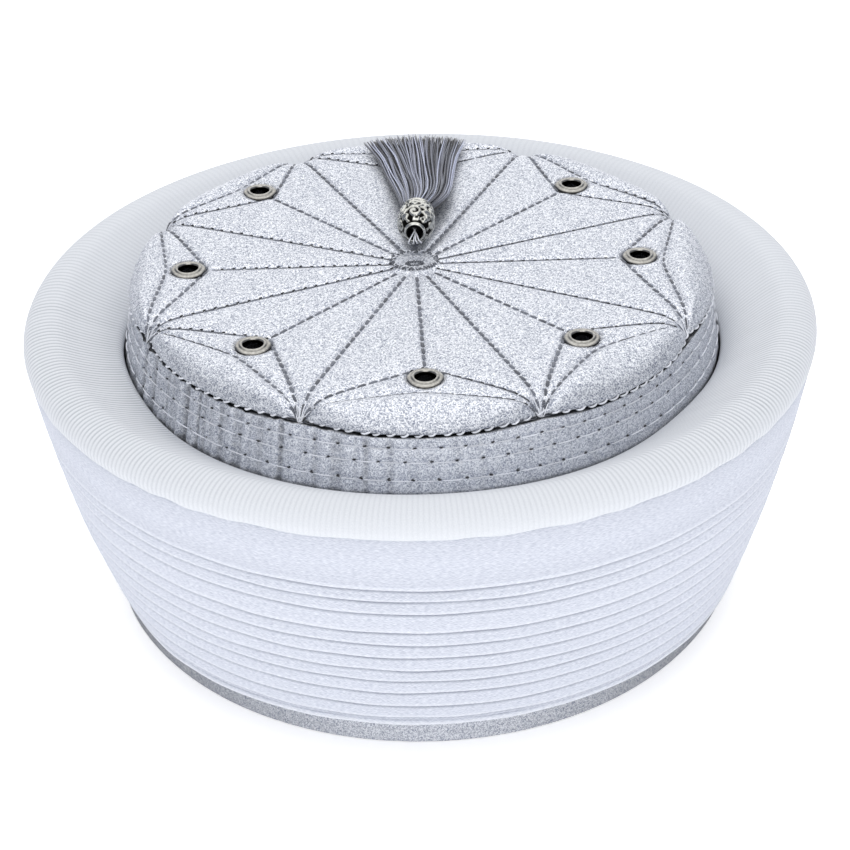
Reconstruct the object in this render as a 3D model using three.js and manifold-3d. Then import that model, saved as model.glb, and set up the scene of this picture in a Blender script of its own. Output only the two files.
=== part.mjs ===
// Imam turban: a silver cap with a thick white wound wall around it, vent eyelets and a tassel.
// Millimetres, +Z up. The origin is in the middle of the cap's open rim, on the surface it stands on;
// the wearer's face is towards -Y, and the tassel falls back along +Y.

import * as THREE from 'three';
import { mergeVertices } from 'three/addons/utils/BufferGeometryUtils.js';
import Module from 'manifold-3d';

const wasm = await Module();
wasm.setup();

// ---- Driving dimensions ----

const HEAD_CIRCUMFERENCE = 600;
const CAP_WALL = 3;
const GAP = 0.3; // clearance between pieces that touch on the real hat
const ROUND_STEPS = 64; // facets around the large round pieces
const SMALL_STEPS = 12; // facets around the eyelets

const CAP = {
  rimRadius: Math.round(10 * (HEAD_CIRCUMFERENCE / (2 * Math.PI) + CAP_WALL)) / 10,
  waistRadius: 91.6, // where the side passes the bottom of the crevice
  waistHeight: 86,
  seamRadius: 88.2,
  seamHeight: 103,
  edgeChamfer: 0.6,
};

const TOP = {
  height: 110, // flat middle of the quilted panel
  thickness: 3,
  flatUnderRadius: 78, // the lining side stays flat this far out
  bulgeRadius: 89.4, // widest point of the edge pillows
  bulgeHeight: 104.2,
  tipRadius: 88, // the star's tips, at the seam
  arcBeyondEyelet: 7, // the stitched arc between two tips passes this far outside their eyelet
  arcPower: 1.6, // how sharply an arc turns out towards its tips
  innerRings: [30, 58], // radii of the panel's rings of facets inside the arcs
  dipReach: 4, // the tips' dip starts this far inside them
  tipDip: 4, // the tips are pulled down by their stitches
  tipPinch: 1, // and drawn in
  rollSteps: 4, // facets over a pillow's edge
};

// The panel's eight edge pillows, counter-clockwise from the front. Each runs from its own star tip to the
// next one's, with a vent eyelet between them; azimuths in degrees from +X. It is sewn by hand, so they wander.
const PILLOWS = [
  { tip: -112.9, eyelet: -89, eyeletRadius: 69 },
  { tip: -67.6, eyelet: -46, eyeletRadius: 67.5 },
  { tip: -25.2, eyelet: 0.5, eyeletRadius: 68 },
  { tip: 21.5, eyelet: 45, eyeletRadius: 71 },
  { tip: 65.8, eyelet: 90, eyeletRadius: 70.5 },
  { tip: 116.5, eyelet: 135, eyeletRadius: 72 },
  { tip: 158, eyelet: 181, eyeletRadius: 70.5 },
  { tip: 202.8, eyelet: 225, eyeletRadius: 68.5 },
];
const EYELET = {
  boreRadius: 2.8,
  barrelRadius: 3.4,
  flangeRadius: 5.4,
  flangeHeight: 1.1,
  washerRadius: 4.6,
  washerHeight: 0.8,
};

const WRAP = {
  bottomHeight: 11.5,
  bottomRadius: 102.6,
  topHeight: 91, // where the ribbed rim cloth begins
  topRadius: 121.6,
  belly: 1.4, // the wall bows out by this at half height
  bandHeight: 81, // the plain band above the pleats is straight from here up
  innerTopHeight: 80, // the padding slopes down to the cap under the rim
  hemRadius: 0.8,
};
// Heights of the eleven laid pleats' lower folds; the wall above each one stands proud of the wall below.
const PLEAT_HEIGHTS = [16.1, 21.6, 27.8, 33.2, 38, 43.5, 49, 54.3, 62, 67.1, 71.5];
const PLEAT = { proud: 0.45, tuck: 0.45, shadow: 0.5 };

// Section of the padded ribbed rim, from its outer lower edge over the crest to the crevice at the cap.
const RIM_SECTION = [
  { radius: 121.9, height: 92.6 },
  { radius: 121.4, height: 94.4 },
  { radius: 120.3, height: 96 },
  { radius: 118.5, height: 97.1 },
  { radius: 116, height: 97.9 },
  { radius: 113, height: 98.1 },
  { radius: 110, height: 97.2 },
  { radius: 105, height: 94.2 },
  { radius: 99, height: 90.2 },
  { radius: 94.5, height: 87.1 },
  { radius: 92.5, height: 85.4 },
];
const RIM_LIP_HEIGHT = 84; // the rim meets the cap here, in the crevice

const BEAD = {
  mouth: { x: -0.9, y: 6.9, z: 116.3 }, // middle of the small end, where the thread comes out
  yaw: -4, // degrees from +Y, towards +X
};
// The bead's section along its axis, from the small end.
const BEAD_OUTSIDE = [
  { along: 0, radius: 3.2 },
  { along: 0.5, radius: 3.45 },
  { along: 1.2, radius: 3.45 },
  { along: 2.5, radius: 4.85 },
  { along: 4.4, radius: 5.6 },
  { along: 7, radius: 5.95 },
  { along: 10, radius: 5.75 },
  { along: 12.9, radius: 5.15 },
  { along: 14.3, radius: 5.1 },
];
const BEAD_INSIDE = [
  { along: 14.3, radius: 4.5 },
  { along: 10, radius: 4.9 },
  { along: 5, radius: 4.6 },
  { along: 2, radius: 2.6 },
  { along: 0, radius: 2.5 },
];
const BEAD_STEPS = 16;

// The tassel skirt: knotted head inside the bead, then threads that fan out and lie down on the cap,
// over the eyelet that is behind the tassel.
const FRINGE = [
  { y: 13, middle: -0.3, halfWidth: 3, low: 113.4, high: 119.2 },
  { y: 21.5, middle: 0.2, halfWidth: 3.9, low: 112.7, high: 119.8 },
  { y: 24, middle: 0.8, halfWidth: 5.6, low: 111.6, high: 119.4 },
  { y: 32, middle: 2.1, halfWidth: 7.9, low: 110.6, high: 117.6 },
  { y: 42, middle: 1.9, halfWidth: 9.4, low: 110.5, high: 116 },
  { y: 52, middle: 1.3, halfWidth: 10.7, low: 110.5, high: 115 },
  { y: 58, middle: 1, halfWidth: 11.6, low: 111, high: 114.6 },
  { y: 66, middle: 0.6, halfWidth: 13.1, low: 111.9, high: 114.3 },
  { y: 78, middle: -0.2, halfWidth: 16.8, low: 111.7, high: 113.9 },
  { y: 86, middle: -0.5, halfWidth: 18.4, low: 110.6, high: 112.5 },
];
const FRINGE_BOW = 30; // radius of the line that the thread ends make, seen from above
const FRINGE_STEPS = 12;

const LOOP = { radius: 0.6, steps: 10, sides: 8 };
// The doubled thread's route from the bead's mouth, from inside the bead to the cap.
const LOOP_ROUTE = [
  { x: 0.3, y: 4.5, z: -0.3 },
  { x: 0, y: 0.5, z: -0.8 },
  { x: 0, y: -1.2, z: -2 },
  { x: 0, y: -1.4, z: -4 },
  { x: 0, y: -1, z: -6 },
];

// ---- Shape helpers ----

const radians = THREE.MathUtils.degToRad;

/** Point at (radius, height) of a section that is turned about an axis. */
const at = (radius, height) => new THREE.Vector2(radius, height);

/** Point at an azimuth in degrees, a radius and a height. */
function polar(angle, radius, height) {
  const turn = radians(angle);
  return new THREE.Vector3(radius * Math.cos(turn), radius * Math.sin(turn), height);
}

/** Ring turned from a closed section whose points run outside upwards; the axis becomes +Z. */
function turned(section, steps) {
  const closed = [...section, section[0].clone()];
  return new THREE.LatheGeometry(closed, steps).rotateX(Math.PI / 2);
}

/** Closed solid through a row of loops with equal point counts, with a fan at both ends. */
function lofted(loops) {
  const sides = loops[0].length;
  const points = loops.flat();
  const index = [];
  for (let row = 0; row + 1 < loops.length; row += 1) {
    for (let side = 0; side < sides; side += 1) {
      const a = row * sides + side;
      const b = row * sides + ((side + 1) % sides);
      index.push(a, b, a + sides, b, b + sides, a + sides);
    }
  }
  for (const [row, flip] of [[0, true], [loops.length - 1, false]]) {
    const middle = points.length;
    const centre = new THREE.Vector3();
    loops[row].forEach((point) => centre.addScaledVector(point, 1 / sides));
    points.push(centre);
    for (let side = 0; side < sides; side += 1) {
      const a = row * sides + side;
      const b = row * sides + ((side + 1) % sides);
      index.push(...(flip ? [middle, b, a] : [middle, a, b]));
    }
  }
  const geometry = new THREE.BufferGeometry().setFromPoints(points);
  geometry.setIndex(index);
  return geometry;
}

/** The same closed mesh as a manifold-3d solid. */
function toSolid(geometry) {
  const bare = geometry.clone();
  bare.deleteAttribute('normal');
  bare.deleteAttribute('uv');
  const merged = mergeVertices(bare);
  return new wasm.Manifold(new wasm.Mesh({
    numProp: 3,
    vertProperties: new Float32Array(merged.attributes.position.array),
    triVerts: new Uint32Array(merged.index.array),
  }));
}

/** A manifold-3d solid as a BufferGeometry. */
function fromSolid(solid) {
  const mesh = solid.getMesh();
  const geometry = new THREE.BufferGeometry();
  geometry.setAttribute('position', new THREE.BufferAttribute(mesh.vertProperties, 3));
  geometry.setIndex(new THREE.BufferAttribute(mesh.triVerts, 1));
  return geometry;
}

/** Radius of the cap's outside at a height on its side. */
function capRadius(height) {
  return height < CAP.waistHeight
    ? THREE.MathUtils.mapLinear(height, 0, CAP.waistHeight, CAP.rimRadius, CAP.waistRadius)
    : THREE.MathUtils.mapLinear(height, CAP.waistHeight, CAP.seamHeight, CAP.waistRadius, CAP.seamRadius);
}

// ---- Cap ----

/** Side of the cap: a tapering tube of padded cloth, open at both ends, rounded at the rim. */
function capSide() {
  const top = CAP.seamHeight - GAP;
  const chamfer = CAP.edgeChamfer;
  return turned([
    at(CAP.rimRadius - CAP_WALL + chamfer, 0),
    at(CAP.rimRadius - chamfer, 0),
    at(CAP.rimRadius, chamfer),
    at(CAP.waistRadius, CAP.waistHeight),
    at(CAP.seamRadius, top),
    at(CAP.seamRadius - CAP_WALL, top),
    at(CAP.waistRadius - CAP_WALL, CAP.waistHeight),
    at(CAP.rimRadius - CAP_WALL, chamfer),
  ], ROUND_STEPS);
}

/** Angle from one azimuth round to another, 0 to 360. */
const turnFrom = (start, angle) => THREE.MathUtils.euclideanModulo(angle - start, 360);

/** The pillow at an azimuth, and how near the azimuth is to a tip: 0 between its tips, 1 at one of them. */
function pillowAt(angle) {
  for (const [number, pillow] of PILLOWS.entries()) {
    const next = PILLOWS[(number + 1) % PILLOWS.length];
    const span = turnFrom(pillow.tip, next.tip);
    const into = turnFrom(pillow.tip, angle);
    if (into < span) return { pillow, nearTip: Math.abs((2 * into) / span - 1) };
  }
  throw new Error(`no pillow at ${angle}`);
}

/** Section of the top panel at an azimuth, from its innermost ring over the edge to its lining side. */
function topSection(angle) {
  const { pillow, nearTip } = pillowAt(angle);
  const pull = nearTip ** 4;
  const arcRadius = THREE.MathUtils.lerp(
    pillow.eyeletRadius + TOP.arcBeyondEyelet,
    TOP.tipRadius,
    nearTip ** TOP.arcPower,
  );
  const arcHeight = TOP.height - TOP.tipDip * pull;
  const widest = TOP.bulgeRadius - TOP.tipPinch * pull;
  const section = TOP.innerRings.map((radius) => at(radius, TOP.height));
  section.push(at(arcRadius - TOP.dipReach, TOP.height));
  for (let step = 0; step <= TOP.rollSteps; step += 1) {
    const turn = (step / TOP.rollSteps) * (Math.PI / 2);
    section.push(at(
      arcRadius + (widest - arcRadius) * Math.sin(turn),
      TOP.bulgeHeight + (arcHeight - TOP.bulgeHeight) * Math.cos(turn),
    ));
  }
  section.push(at(CAP.seamRadius, CAP.seamHeight));
  section.push(at(CAP.seamRadius - CAP_WALL, CAP.seamHeight));
  section.push(at(CAP.seamRadius - CAP_WALL, CAP.seamHeight + TOP.thickness / 2));
  section.push(at(TOP.flatUnderRadius, TOP.height - TOP.thickness));
  return section;
}

/** Quilted top panel: flat in the middle, eight edge pillows that roll down to the seam, vent holes. */
function capTop() {
  const loops = [];
  for (let step = 0; step < ROUND_STEPS; step += 1) {
    const angle = (step / ROUND_STEPS) * 360;
    topSection(angle).forEach((point, row) => {
      loops[row] ??= [];
      loops[row].push(polar(angle, point.x, point.y));
    });
  }
  // The rows are turned round, so that the skin runs from the lining side out and over the top.
  let panel = toSolid(lofted(loops.reverse()));
  const drill = new THREE.CylinderGeometry(
    EYELET.barrelRadius + GAP,
    EYELET.barrelRadius + GAP,
    3 * TOP.thickness,
    SMALL_STEPS,
  ).rotateX(Math.PI / 2);
  for (const pillow of PILLOWS) {
    const middle = eyeletMiddle(pillow);
    panel = panel.subtract(toSolid(drill.clone().translate(middle.x, middle.y, middle.z)));
  }
  return fromSolid(panel);
}

/** Middle of an eyelet's bore, halfway through the panel. */
function eyeletMiddle({ eyelet: angle, eyeletRadius }) {
  return polar(angle, eyeletRadius, TOP.height - TOP.thickness / 2);
}

/** Eyelet: domed flange on the cloth, barrel through it and a washer turned over below. */
function grommet() {
  const upper = TOP.thickness / 2 + GAP;
  const lower = -upper;
  return turned([
    at(EYELET.barrelRadius, lower),
    at(EYELET.barrelRadius, upper),
    at(EYELET.flangeRadius, upper),
    at(EYELET.flangeRadius - 0.4, upper + 0.7 * EYELET.flangeHeight),
    at(EYELET.barrelRadius + 0.3, upper + EYELET.flangeHeight),
    at(EYELET.boreRadius, upper + 0.4 * EYELET.flangeHeight),
    at(EYELET.boreRadius, lower - EYELET.washerHeight),
    at(EYELET.washerRadius, lower - 0.6 * EYELET.washerHeight),
    at(EYELET.washerRadius, lower),
  ], SMALL_STEPS);
}

// ---- White wall ----

/** Radius of the wound wall, without its pleats, at a height. */
function wallRadius(height) {
  const rise = (height - WRAP.bottomHeight) / (WRAP.topHeight - WRAP.bottomHeight);
  const straight = THREE.MathUtils.lerp(WRAP.bottomRadius, WRAP.topRadius, rise);
  return straight + 4 * WRAP.belly * rise * (1 - rise);
}

/** Thick wound wall around the cap, with laid pleats up its outside and a rolled hem at the bottom. */
function wrap() {
  const hem = WRAP.hemRadius;
  const section = [
    at(capRadius(WRAP.bottomHeight) + GAP, WRAP.bottomHeight),
    at(WRAP.bottomRadius - hem, WRAP.bottomHeight),
    at(WRAP.bottomRadius, WRAP.bottomHeight + hem),
  ];
  for (const height of PLEAT_HEIGHTS) {
    section.push(at(wallRadius(height) - PLEAT.tuck, height - PLEAT.shadow));
    section.push(at(wallRadius(height) + PLEAT.proud, height));
  }
  section.push(at(wallRadius(WRAP.bandHeight), WRAP.bandHeight));
  section.push(at(WRAP.topRadius, WRAP.topHeight));
  section.push(at(capRadius(WRAP.innerTopHeight) + GAP, WRAP.innerTopHeight));
  return turned(section, ROUND_STEPS);
}

/** Padded ribbed rim that lies on the wall and dips inwards to the cap. */
function rimRoll() {
  const section = [
    at(capRadius(WRAP.innerTopHeight + GAP) + GAP, WRAP.innerTopHeight + GAP),
    at(WRAP.topRadius, WRAP.topHeight + GAP),
    ...RIM_SECTION.map(({ radius, height }) => at(radius, height)),
    at(capRadius(RIM_LIP_HEIGHT) + GAP, RIM_LIP_HEIGHT),
  ];
  return turned(section, ROUND_STEPS);
}

// ---- Tassel ----

/** Hollow barrel bead, turned about its own axis, which lies along +Y. */
function bead() {
  const outside = BEAD_OUTSIDE.map(({ along, radius }) => at(radius, along));
  const inside = BEAD_INSIDE.map(({ along, radius }) => at(radius, along));
  return turned([...outside, ...inside], BEAD_STEPS).rotateX(-Math.PI / 2);
}

/** Outer form of the fanned threads, an oval in every section. */
function fringe() {
  return lofted(FRINGE.map(({ y, middle, halfWidth, low, high }) => {
    const loop = [];
    for (let side = 0; side < FRINGE_STEPS; side += 1) {
      const turn = (-side / FRINGE_STEPS) * 2 * Math.PI;
      const across = halfWidth * Math.cos(turn);
      loop.push(new THREE.Vector3(
        middle + across,
        y - across ** 2 / (2 * FRINGE_BOW),
        (low + high) / 2 + ((high - low) / 2) * Math.sin(turn),
      ));
    }
    return loop;
  }));
}

/** Doubled thread from inside the bead, out of its mouth and down into the cap. */
function threadLoop() {
  const { mouth } = BEAD;
  const route = new THREE.CatmullRomCurve3(
    LOOP_ROUTE.map(({ x, y, z }) => new THREE.Vector3(mouth.x + x, mouth.y + y, mouth.z + z)),
  );
  const section = new THREE.Shape();
  for (let side = 0; side < LOOP.sides; side += 1) {
    const turn = (side / LOOP.sides) * 2 * Math.PI;
    const corner = [LOOP.radius * Math.cos(turn), LOOP.radius * Math.sin(turn)];
    if (side === 0) section.moveTo(...corner);
    else section.lineTo(...corner);
  }
  return new THREE.ExtrudeGeometry(section, { steps: LOOP.steps, extrudePath: route });
}

// ---- Assembly ----

const lame = (color) => new THREE.MeshStandardMaterial({ color, roughness: 0.42, metalness: 0.35 });
const cotton = (color) => new THREE.MeshStandardMaterial({ color, roughness: 0.85, metalness: 0 });
const nickel = () => new THREE.MeshStandardMaterial({ color: 0xb9b4aa, roughness: 0.28, metalness: 1 });
const rayon = () => new THREE.MeshStandardMaterial({ color: 0x767985, roughness: 0.5, metalness: 0 });

const turban = new THREE.Group();

/** Adds one named piece and returns it, so that its caller can place it. */
function add(name, geometry, material, parent = turban) {
  const piece = new THREE.Mesh(geometry, material);
  piece.name = name;
  parent.add(piece);
  return piece;
}

add('cap_side', capSide(), lame(0xb4b8c4));
add('cap_top', capTop(), lame(0xd6dae2));
PILLOWS.forEach((pillow, number) => {
  add(`eyelet_${number + 1}`, grommet(), nickel()).position.copy(eyeletMiddle(pillow));
});
add('wrap', wrap(), cotton(0xe6eaf4));
add('rim_roll', rimRoll(), cotton(0xdde1e6));

const tassel = new THREE.Group();
turban.add(tassel);
const tasselBead = add('tassel_bead', bead(), nickel(), tassel);
tasselBead.position.set(BEAD.mouth.x, BEAD.mouth.y, BEAD.mouth.z);
tasselBead.rotation.z = radians(BEAD.yaw);
add('tassel_fringe', fringe(), rayon(), tassel);
add('tassel_loop', threadLoop(), rayon(), tassel);

export default turban;
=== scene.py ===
# Imam turban: a silver cap inside a thick white pleated wall, with a quilted star top, vent eyelets
# and a tassel. Sizes are written in millimetres and turned to metres when a mesh is made; +Z is up,
# the wearer's face is towards -Y and the tassel falls back along +Y.

import math
from functools import partial

import bpy
import numpy as np
from mathutils import Matrix, Vector
from mathutils.kdtree import KDTree


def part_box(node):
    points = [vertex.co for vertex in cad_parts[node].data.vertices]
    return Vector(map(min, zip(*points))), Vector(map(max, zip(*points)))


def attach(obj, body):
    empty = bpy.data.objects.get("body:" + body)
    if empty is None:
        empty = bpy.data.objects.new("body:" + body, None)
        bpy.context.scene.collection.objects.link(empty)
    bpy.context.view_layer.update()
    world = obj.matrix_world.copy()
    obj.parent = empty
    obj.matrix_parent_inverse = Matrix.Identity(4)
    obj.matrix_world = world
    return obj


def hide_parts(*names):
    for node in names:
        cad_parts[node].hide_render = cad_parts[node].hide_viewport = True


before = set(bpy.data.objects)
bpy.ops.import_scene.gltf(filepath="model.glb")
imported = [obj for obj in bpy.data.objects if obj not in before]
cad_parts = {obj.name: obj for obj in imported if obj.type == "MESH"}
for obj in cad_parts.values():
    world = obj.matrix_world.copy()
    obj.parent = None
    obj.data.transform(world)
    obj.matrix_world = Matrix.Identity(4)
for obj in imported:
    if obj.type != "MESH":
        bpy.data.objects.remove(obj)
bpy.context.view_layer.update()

MM = 0.001
FULL_TURN = 2 * math.pi

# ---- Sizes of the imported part, in millimetres ----

FOOT_RADIUS = 96.5  # the cap's open rim
EAR_BULGE = 3  # the open rim is this much wider at the wearer's ears
WAIST_RADIUS, WAIST_HEIGHT = 91.6, 86
SEAM_RADIUS, SEAM_HEIGHT = 88.2, 103
CAP_WALL = 3
CROWN_SHIFT = 0.6  # the crown leans this far towards +X
TOP_HEIGHT, LINING_HEIGHT = 110, 107
TOP_GRID = 308  # points across the top's mesh
BULGE_RADIUS = 89.4
BULGE_RISE = 0.17  # where the pillows are widest, from the seam to the arc
TIP_RADIUS = 88
TIP_DIP, DIP_REACH = 7.6, 2.6
TIP_PINCH = 2.5
ARC_BEYOND_EYELET, ARC_POWER = 7, 1.6
ROLL_END = math.radians(101.8)  # how far the pillows roll round before they are tucked under
DRAWN_IN = 0.33  # grid points this near a stitched line are moved onto it
# Azimuths of the eight star tips, each before the eyelet of the same number, counter-clockwise.
TIP_AZIMUTHS = np.radians([-112.9, -67.6, -26.2, 21.5, 65.8, 116.5, 158, 202.8])
SEAM_SAGS = np.array([0.9, 1.7, 1.8, 1.2, 1, 1, 1, 0.5])  # the seam's dip between each tip and the next
STAR_MIDDLE = np.array([-0.8, -0.4])
# How deep and how far across the stitches draw the top in: a furrow, and a hollow round it.
FURROW_DEPTH, FURROW = 0.7, 0.68
HOLLOW_DEPTH, HOLLOW = 0.3, 2.4
ARC_HOLLOW_DEPTH, ARC_HOLLOW = 0.55, 2
STITCH = {"pitch": 3.5, "length": 3.35, "thickness": 1.2, "flatness": 0.62, "lean": 0.14}
SIDE_ROW_HEIGHTS = [99.2, 95, 89.6]
SIDE_PITCH_COUNT = 78  # stitches in a row round the cap, 7.2 mm apart
SEAM_STITCH_COUNT = 142
TIP_THREAD_REACH, TIP_THREAD_SHARE = 6, 0.75  # near a tip the star's thread is this much of its thickness
# Painted shade on the cap's side: dark at its foot, and from just under the hem all the way up behind the
# wall to just above the rim's crevice: height, shade.
SIDE_SHADE = np.array([(0, 0.6), (1, 0), (4, 0), (7.4, 0.15), (8.3, 0.9), (80, 1), (83.5, 1), (86.5, 0)])
GROOVE_HEIGHT, GROOVE_DEPTH = 101.9, 1.2  # the side is drawn in above this, under the seam
# Inside of the cap's side: height, and depth below its outside.
SIDE_INSIDE = [
    (102.4, 1.9), (94, 2.1), (86, 2.2), (68, 2.4), (50, 2.4), (8, 2.4), (1, 2.2), (0.15, 1.7), (0, 1.2),
    (0.15, 0.5),
]
EYELET_HOLE = 3.2
EYELET_PRESS, EYELET_REACH = 0.35, 5.9  # how far an eyelet presses the cloth down, and out to where
# A turned eyelet: washer, barrel, rolled lip, groove and flange, as radius and height.
EYELET_SECTION = [
    (3.3, 106.6), (4.5, 106.65), (4.6, 106.3), (4.2, 105.95), (3.2, 105.95), (2.85, 106.4), (2.85, 108.4),
    (2.88, 109.5), (2.98, 110.15), (3.25, 110.55), (3.6, 110.62), (3.92, 110.4), (4.12, 110.22),
    (4.6, 110.22), (5.05, 110.02), (5.35, 109.72), (5.5, 109.4), (5.4, 109.2), (4.9, 109.1), (3.4, 109.1),
    (3.3, 106.6),
]
# Edges of the band that rests on the head: height, and depth below the cap's outside.
BAND_TOP = [(33.4, 3.3), (34.2, 3.6), (34, 4), (32.6, 4.05), (31, 3.85), (29, 4.1)]
BAND_FOOT = [(3, 4), (1.2, 3.5), (0.7, 2.8), (2, 2.6)]
HEM_RADIUS, HEM_HEIGHT = 102.6, 11.5
WALL_TOP_RADIUS, WALL_TOP = 121.6, 91
WALL_BELLY = 1.4
WALL_INNER_TOP = 80
SLIM_HEIGHT = 30  # the wall is drawn in up to this far above its hem
WALL_TUCK = [(-1.1, 205, 13)]  # the hem is tucked in here: size, azimuth and reach in degrees
# Lower folds of the eleven laid pleats.
PLEAT_HEIGHTS = [16.1, 21.6, 27.8, 33.2, 38, 43.5, 49, 54.3, 62, 67.1, 71.5]
# How dark the painted shadow under each pleat's lip is.
PLEAT_DARKNESS = 0.56
# The rolled hem: how far out and up from the wall's lower edge, and its painted shade, below 0 a painted
# highlight on the roll.
HEM_SECTION = [
    (100, 0, 0.9), (101.4, -0.05, 0.5), (102.3, 0.05, 0), (102.85, 0.55, -0.3), (102.85, 1.3, -0.2),
    (102.6, 1.9, 0), (102.3, 2.15, 0.6), (102.35, 2.4, 0.5), (102.7, 2.7, 0),
]
RIM_UNDERSIDE = [(93.5, 80), (112, 88.5), (119.8, 90.4), (121.2, 90.2), (121.65, 90.5)]
RIM_SECTION = [
    (121.75, 91.3), (122, 92.7), (121.5, 94.4), (120.4, 96), (118.6, 97.2), (116, 97.95), (113, 98.1),
    (110, 97.25), (105, 94.25), (99, 90.25), (94.9, 87.3), (93.3, 86), (92.5, 84.8),
]
# Where the rim's inner edge rises, and where its ribs are deeper with more painted shade in their furrows:
# size, azimuth and reach in degrees.
RIM_RISES = [(3, 200, 17), (2, 331, 15)]
RIM_RIB_DEPTH_AND_SHADE = [(0.38, 203, 36), (0.33, 330, 33)]
RIB_COUNT = 402
CREVICE = 0.9  # width of the gap between the rim and the cap
BEAD_MOUTH = np.array([-0.9, 6.9, 116.3])
BEAD_YAW = math.radians(-4)
BEAD_OUTSIDE = [
    (0, 2.9), (0.3, 3.3), (0.8, 3.4), (1.15, 3.45), (1.5, 3.95), (2.5, 4.85), (4.4, 5.6), (7, 5.95),
    (10, 5.75), (12.3, 5.3), (12.9, 5.15), (13.5, 5.2), (14.1, 5.05), (14.3, 4.8),
]
BEAD_INSIDE = [(14.2, 4.4), (10, 4.9), (5, 4.6), (2, 2.6), (0.5, 2.45), (0.05, 2.6)]
# Curls of the bead's vines: place in a repeat, distance from the mouth, size, sense.
BEAD_CURLS = [(0.25, 8.6, 3.3, 1), (0.75, 9.6, 2.7, -1), (0.78, 4.7, 2.3, 1), (0.3, 3.9, 1.4, -1)]
# The tassel's skirt, from its knot in the bead to its cut ends: y, middle, half width, low, high.
FRINGE_ROWS = np.array([
    (13, -0.3, 3, 113.4, 119.2),
    (21.5, 0.2, 3.9, 112.7, 119.8),
    (24, 0.8, 5.6, 113.2, 119.8),
    (32, 2, 7.8, 112.4, 118.6),
    (42, 1.9, 9.4, 111.6, 116.8),
    (52, 1.3, 10.7, 110.5, 115),
    (58, 1, 11.6, 110.9, 114.6),
    (66, 0.6, 13.1, 111.9, 114.3),
    (78, -0.2, 16.8, 111.7, 113.9),
    (86, -0.5, 18.4, 110.5, 112.4),
])
FRINGE_END = 85.9
FRINGE_BOW = 60  # the cut ends lie on a curve that falls back by x * x / FRINGE_BOW
CORE_THREADS, LOOSE_THREADS = 210, 76
GOLDEN_ANGLE = math.pi * (3 - math.sqrt(5))  # spreads the core's threads evenly over its section
THREAD_STEP = 7.3  # from one thread to the next in their texture lengths, so that no two are alike


# ---- Camera, light and floor ----

def add_object(name, data):
    """New object in the scene."""
    thing = bpy.data.objects.new(name, data)
    bpy.context.scene.collection.objects.link(thing)
    return thing


def add_camera():
    """Camera in front of the turban and above it, looking down."""
    data = bpy.data.cameras.new("camera")
    data.sensor_width = 36
    data.lens = 101.65
    data.clip_start = 0.01
    data.clip_end = 50
    camera = add_object("camera", data)
    looking_down = math.radians(32.09)
    roll = math.radians(-1.42)
    turn = Matrix.Rotation(math.pi / 2 - looking_down, 4, "X") @ Matrix.Rotation(roll, 4, "Z")
    camera.matrix_world = Matrix.Translation((0.0008, -0.6498, 0.4583)) @ turn
    bpy.context.scene.camera = camera


def add_softbox(name, place, target, width, power):
    """Square soft light that faces a point."""
    data = bpy.data.lights.new(name, "AREA")
    data.shape = "SQUARE"
    data.size = width
    data.energy = power
    lamp = add_object(name, data)
    lamp.location = place
    away = lamp.location - Vector(target)
    lamp.rotation_euler = away.to_track_quat("Z", "Y").to_euler()


def add_studio():
    """White surroundings, dimmer low down at both sides, two soft lights and a pale floor."""
    world = bpy.data.worlds.new("studio")
    world.use_nodes = True
    add = partial(add_node, world.node_tree)
    towards = add("TexCoord").outputs["Generated"]
    parts = add("SeparateXYZ", {"Vector": towards}).outputs
    sideways = add("Math", {0: parts["X"]}, operation="ABSOLUTE")
    beside = add("MapRange", {"Value": sideways, "From Min": 0.33, "From Max": 0.65})
    low = add(
        "MapRange", {"Value": parts["Z"], "From Min": 0.5, "From Max": 0.85, "To Min": 1, "To Max": 0},
    )
    shade = add("Math", {0: beside, 1: low}, operation="MULTIPLY")
    colour = add("Mix", {0: shade, MIX_A: "#fefeff", MIX_B: "#7d828d"})
    background = world.node_tree.nodes["Background"]
    background.inputs["Strength"].default_value = 1.22
    world.node_tree.links.new(colour.outputs[MIX_RESULT], background.inputs["Color"])
    bpy.context.scene.world = world
    bpy.context.scene.view_settings.view_transform = "Standard"
    add_softbox("key", (-0.1, -1.5, 0.75), (0, 0, 0.05), 1.2, 3.4)
    add_softbox("overhead", (0, 0.2, 1.5), (0, 0, 0), 1.6, 3)

    half = 4000
    corners = [(-half, -half, 0), (half, -half, 0), (half, half, 0), (-half, half, 0)]
    floor = add_mesh("floor", corners, [(0, 1, 2, 3)], lit_acrylic())


# ---- Curves and numbers ----

def hump(x, width):
    """1 where x is 0, falling off softly on both sides."""
    return np.exp(-((x / width) ** 2))


def ramp(x, start, end):
    """0 up to the start, then straight to 1 at the end, which may lie below the start."""
    return np.clip((x - start) / (end - start), 0, 1)


def direction(azimuth):
    """Unit vectors seen from above."""
    return np.stack([np.cos(azimuth), np.sin(azimuth)], -1)


def turned(radius, height, azimuth):
    """Points at a radius, height and azimuth."""
    radius = radius + 0 * azimuth
    return np.stack([radius * np.cos(azimuth), radius * np.sin(azimuth), height + 0 * radius], -1)


def round_steps(count):
    """Azimuths of evenly spread columns."""
    return np.arange(count) * FULL_TURN / count


def near_azimuth(azimuth, degrees):
    """Angle in degrees from an azimuth to a fixed one, -180 to 180."""
    return np.mod(np.degrees(azimuth) - degrees + 180, 360) - 180


def places_round(azimuth, places):
    """Sum of soft humps of a size at an azimuth, with a reach in degrees."""
    return sum(size * hump(near_azimuth(azimuth, middle), reach) for size, middle, reach in places)


def path_length(points):
    """Length of a path from its start to each of its points."""
    return np.concatenate([[0], np.cumsum(np.linalg.norm(np.diff(points, axis=0), axis=1))])


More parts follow.
